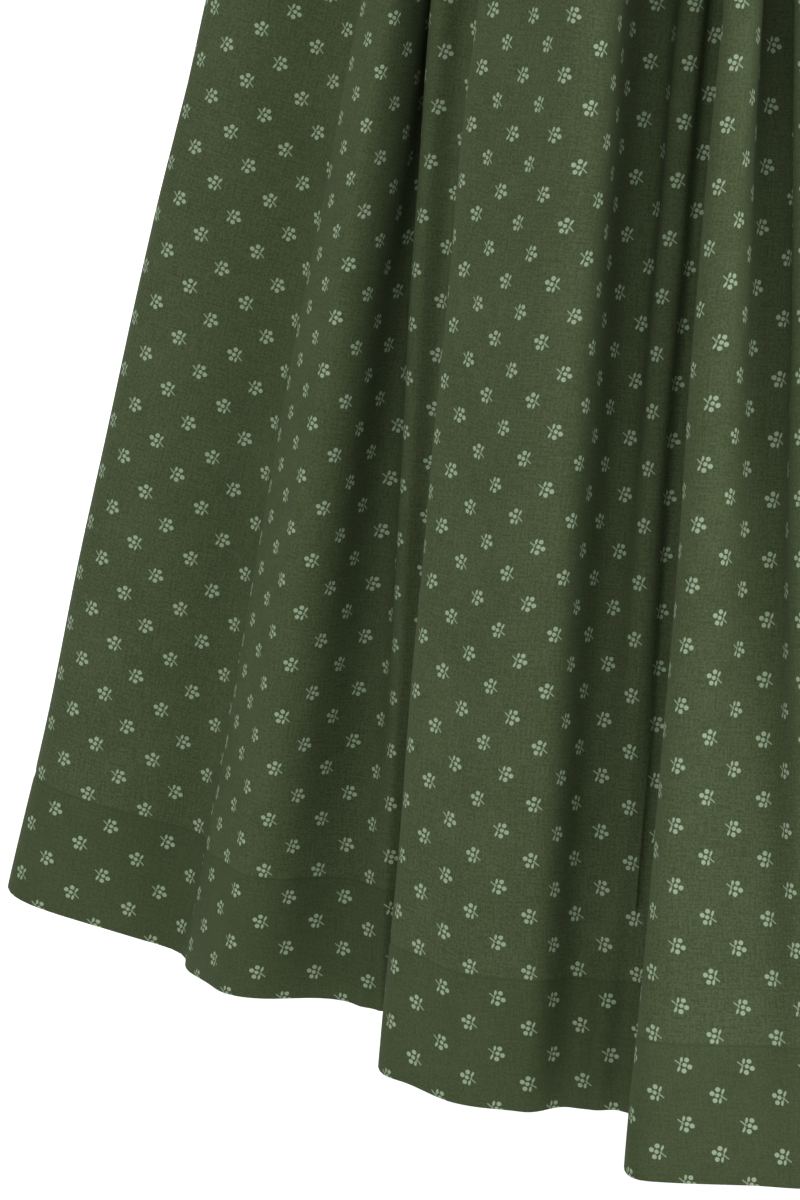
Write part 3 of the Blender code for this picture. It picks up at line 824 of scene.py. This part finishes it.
def stitch_points(line, normal, pitch, length, radius):
    """Stitches along a line: each is a tube of five rings of six points, whose radius
    swells as the root of a sine and whose ends dip into the cloth as a parabola."""
    run = np.concatenate([[0.0], np.linalg.norm(np.diff(line, axis=0), axis=1).cumsum()])
    starts = np.arange(pitch / 2, run[-1] - length, pitch)
    t = np.linspace(0.0, 1.0, 5)
    place = starts[:, None] + length * t[None, :]
    centre = np.stack([np.interp(place, run, line[:, k]) for k in range(3)], axis=-1)
    up = np.stack([np.interp(place, run, normal[:, k]) for k in range(3)], axis=-1)
    up /= np.linalg.norm(up, axis=-1, keepdims=True)
    forward = np.gradient(centre, axis=1)
    forward /= np.linalg.norm(forward, axis=-1, keepdims=True)
    sideways = np.cross(up, forward)
    swell = radius * np.sqrt(np.clip(np.sin(math.pi * (0.08 + 0.84 * t)), 0, 1))
    centre = centre + up * (radius * (0.9 - 5.0 * (t - 0.5) ** 2))[None, :, None]
    turn = np.arange(6) * math.pi / 3
    ring = (
        np.cos(turn)[None, None, :, None] * sideways[:, :, None]
        + np.sin(turn)[None, None, :, None] * up[:, :, None]
    )
    return centre[:, :, None] + ring * swell[None, :, None, None]


def tube_mesh(name, tubes, material):
    """Many closed tubes (tubes, rings, points round, xyz) as one mesh, ends capped."""
    count, rings, sides = tubes.shape[:3]
    index = np.arange(count * rings * sides).reshape(count, rings, sides)
    after = np.roll(index, -1, axis=2)
    walls = np.stack([index[:, :-1], after[:, :-1], after[:, 1:], index[:, 1:]], axis=-1)
    walls = walls.reshape(-1)
    caps = np.concatenate([index[:, 0, ::-1], index[:, -1]]).reshape(-1)
    corners = np.concatenate([walls, caps]).astype(np.int32)
    wall_starts = np.arange(0, len(walls), 4)
    cap_starts = len(walls) + np.arange(0, len(caps), sides)
    starts = np.concatenate([wall_starts, cap_starts]).astype(np.int32)
    mesh = bpy.data.meshes.new(name)
    mesh.vertices.add(index.size)
    mesh.vertices.foreach_set("co", tubes.reshape(-1).astype(np.float32))
    mesh.loops.add(len(corners))
    mesh.loops.foreach_set("vertex_index", corners)
    mesh.polygons.add(len(starts))
    mesh.polygons.foreach_set("loop_start", starts)
    mesh.polygons.foreach_set("use_smooth", np.ones(len(starts), dtype=bool))
    mesh.update(calc_edges=True)
    mesh.validate()
    mesh.materials.append(material)
    piece = bpy.data.objects.new(name, mesh)
    bpy.context.scene.collection.objects.link(piece)
    return piece


def thread_material():
    """Cotton thread: the cloth's green, a little lighter, with a fine twist by noise."""
    material = bpy.data.materials.new("sewing thread")
    material.use_nodes = True
    tree = material.node_tree
    shader = tree.nodes["Principled BSDF"]
    twist = node(tree, "ShaderNodeTexNoise")
    twist.inputs["Scale"].default_value = 2500.0
    place = node(tree, "ShaderNodeTexCoord").outputs["Object"]
    tree.links.new(place, twist.inputs["Vector"])
    colour = mix_colours(
        tree, twist.outputs["Fac"], (0.050, 0.068, 0.034, 1.0), (0.088, 0.112, 0.060, 1.0)
    )
    tree.links.new(colour, shader.inputs["Base Color"])
    shader.inputs["Roughness"].default_value = 0.6
    return material


THREAD = thread_material()


def sew(name, lines, pitch=STITCH_PITCH, length=STITCH_LENGTH, radius=STITCH_RADIUS):
    """One piece of stitches along several lines, each a pair of points and normals."""
    tubes = np.concatenate([stitch_points(*line, pitch, length, radius) for line in lines])
    piece = tube_mesh(name, tubes, THREAD)
    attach(piece, "root")
    return piece


def both_hands(lines):
    """The lines and their mirror images on the wearer's other side."""
    flip = np.array([-1.0, 1.0, 1.0])
    return lines + [(line * flip, normal * flip) for line, normal in lines]


sew("topstitching_side_fronts", both_hands(
    [path_beside(side_fronts[0], side, 0.0025) for side in ("first", "last")]
))
sew("topstitching_side_backs", both_hands(
    [path_beside(side_backs[0], side, 0.0025) for side in ("first", "last")]
))
sew("topstitching_back", [path_beside(back_panel[0], "top", 0.0025)])
sew("topstitching_fronts", [
    path_beside(front_panels["right"], "top", 0.0025),
    path_beside(front_panels["right"], "first", 0.0025),
    path_beside(front_panels["left"], "top", 0.0025),
])


# --- Buttons -----------------------------------------------------------------------------
# Seven turned horn buttons, dyed dark green, with a raised rim and four holes, sewn on with
# crossed threads along the centre front; they cover the buttonholes in the right front.

BUTTON_COUNT = 7
BUTTON_RINGS, BUTTON_SIDES = 30, 48
HOLE_PLACE, HOLE_RADIUS = 0.0015, 0.00062


def button_material():
    """Dyed horn: two greens in drawn-out streaks, polished."""
    material = bpy.data.materials.new("dyed horn")
    material.use_nodes = True
    tree = material.node_tree
    shader = tree.nodes["Principled BSDF"]
    place = node(tree, "ShaderNodeTexCoord").outputs["Object"]
    streak = node(tree, "ShaderNodeTexNoise")
    streak.inputs["Scale"].default_value = 120.0
    streak.inputs["Detail"].default_value = 4.0
    streak.inputs["Distortion"].default_value = 1.5
    tree.links.new(vector_calc(tree, "MULTIPLY", place, (3.0, 1.0, 1.0)), streak.inputs["Vector"])
    colour = mix_colours(
        tree, streak.outputs["Fac"], (0.030, 0.040, 0.022, 1.0), (0.110, 0.120, 0.075, 1.0)
    )
    tree.links.new(colour, shader.inputs["Base Color"])
    rough = calc(tree, "MULTIPLY_ADD", streak.outputs["Fac"], 0.2, 0.28)
    tree.links.new(rough, shader.inputs["Roughness"])
    return material


HORN = button_material()


def button_points(radius, thickness):
    """A turned button about +Z, as rings from the middle of its face round its edge to the
    middle of its back. The face dips to a dish inside a rounded rim, and four holes sink as
    smooth steps of the distance to their centres."""
    t = np.linspace(0.0, 1.0, BUTTON_RINGS)[:, None]
    turn = np.arange(BUTTON_SIDES)[None, :] * 2 * math.pi / BUTTON_SIDES
    face = np.clip(t / 0.6, 0, 1)
    edge = np.clip((t - 0.6) / 0.2, 0, 1)
    back = np.clip((t - 0.8) / 0.2, 0, 1)
    reach = radius * np.where(t <= 0.6, 0.93 * face, 0.93 + 0.07 * np.sin(math.pi * edge))
    reach = np.where(t > 0.8, radius * 0.93 * (1 - back), reach)
    rim = np.exp(-(((reach - 0.82 * radius) / (0.13 * radius)) ** 2))
    height = np.where(t <= 0.6, thickness * (0.28 + 0.22 * rim), 0.0)
    height = np.where(t > 0.6, thickness * 0.36 * np.cos(math.pi * edge), height)
    height = height + 0 * turn
    x, y = reach * np.cos(turn), reach * np.sin(turn)
    for side in (0, 1, 2, 3):
        angle = math.pi / 4 + side * math.pi / 2
        away = np.hypot(x - HOLE_PLACE * math.cos(angle), y - HOLE_PLACE * math.sin(angle))
        sink = 1 - smooth_step(away, 0.7 * HOLE_RADIUS, 1.15 * HOLE_RADIUS)
        height -= np.where(t <= 0.6, 0.0010 * sink, 0.0)
    return np.stack([x, y, height], axis=-1)


def facing(points, middle, outward):
    """Points about the origin with +Z up, turned so that +Z is outward, and placed."""
    side = np.cross((0.0, 0.0, 1.0), outward)
    side /= np.linalg.norm(side)
    rise = np.cross(outward, side)
    return middle + points[..., :1] * side + points[..., 1:2] * rise + points[..., 2:] * outward


THREAD_REST = 0.00085
crossed_threads = []
for k in range(BUTTON_COUNT):
    name = f"button_{k + 1}"
    low, high = (np.array(corner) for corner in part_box(name))
    middle = (low + high) / 2
    level = (middle[2] - WAIST_HEIGHT) / (CHEST_HEIGHT - WAIST_HEIGHT)
    up = body_point(np.array(level + 0.02), np.array(0.0)) - body_point(
        np.array(level - 0.02), np.array(0.0)
    )
    outward = np.cross((1.0, 0.0, 0.0), up)
    outward /= -np.linalg.norm(outward) * np.sign(outward[1])
    shape = button_points((high[0] - low[0]) / 2, 0.0028)
    rings = facing(shape, middle, outward)
    button = tube_mesh("turned_" + name, rings[None], HORN)
    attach(button, "root")
    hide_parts(name)
    for angle in (math.pi / 4, 3 * math.pi / 4):
        across = np.linspace(-HOLE_PLACE, HOLE_PLACE, 5)[:, None]
        line = across * np.array([[math.cos(angle), math.sin(angle), 0.0]])
        line[:, 2] = THREAD_REST
        crossed_threads.append((facing(line, middle, outward), np.tile(outward, (5, 1))))
sew("button_threads", crossed_threads, pitch=0.0002, length=0.0028, radius=0.00030)


# --- Studio ------------------------------------------------------------------------------
# A pale floor below the hanging dress, an even white room, a large soft light from the
# wearer's left and another on the floor behind; the camera looks down on the right front
# of the skirt.

bpy.ops.mesh.primitive_plane_add(size=60.0, location=(0.0, 2.5, -1.38))
floor = bpy.context.active_object
floor.name = "floor"
paint = bpy.data.materials.new("pale floor")
paint.use_nodes = True
matt = paint.node_tree.nodes["Principled BSDF"]
matt.inputs["Base Color"].default_value = (0.96, 0.96, 0.96, 1.0)
matt.inputs["Roughness"].default_value = 0.9
floor.data.materials.append(paint)

room = bpy.data.worlds.new("white room")
room.use_nodes = True
room.node_tree.nodes["Background"].inputs["Color"].default_value = (1.0, 1.0, 1.0, 1.0)
room.node_tree.nodes["Background"].inputs["Strength"].default_value = 1.0
bpy.context.scene.world = room
bpy.context.scene.view_settings.view_transform = "Standard"


def soft_light(name, place, aim, size, power):
    """A square area light that faces the point it is aimed at."""
    lamp = bpy.data.lights.new(name, "AREA")
    lamp.size = size
    lamp.energy = power
    light = bpy.data.objects.new(name, lamp)
    bpy.context.scene.collection.objects.link(light)
    light.location = place
    away = np.array(place) - np.array(aim)
    light.rotation_euler = (
        math.atan2(math.hypot(away[0], away[1]), away[2]),
        0.0,
        math.atan2(away[0], -away[1]),
    )
    return light


soft_light("key", (2.2, -2.5, 0.8), (0.0, 0.0, -0.75), 1.6, 56.0)
soft_light("floor light", (0.0, 2.4, 0.7), (0.0, 2.4, -1.38), 3.0, 40.0)

CAMERA_DROP = math.radians(18.5)
CAMERA_DISTANCE = 3.0
VIEW_CENTRE = (-0.166, -0.240, -0.8507)
lens = bpy.data.cameras.new("camera")
lens.lens = 225.0
lens.sensor_width = 36.0
camera = bpy.data.objects.new("camera", lens)
bpy.context.scene.collection.objects.link(camera)
camera.location = (
    VIEW_CENTRE[0],
    VIEW_CENTRE[1] - CAMERA_DISTANCE * math.cos(CAMERA_DROP),
    VIEW_CENTRE[2] + CAMERA_DISTANCE * math.sin(CAMERA_DROP),
)
camera.rotation_euler = (math.pi / 2 - CAMERA_DROP, 0.0, 0.0)
bpy.context.scene.camera = camera
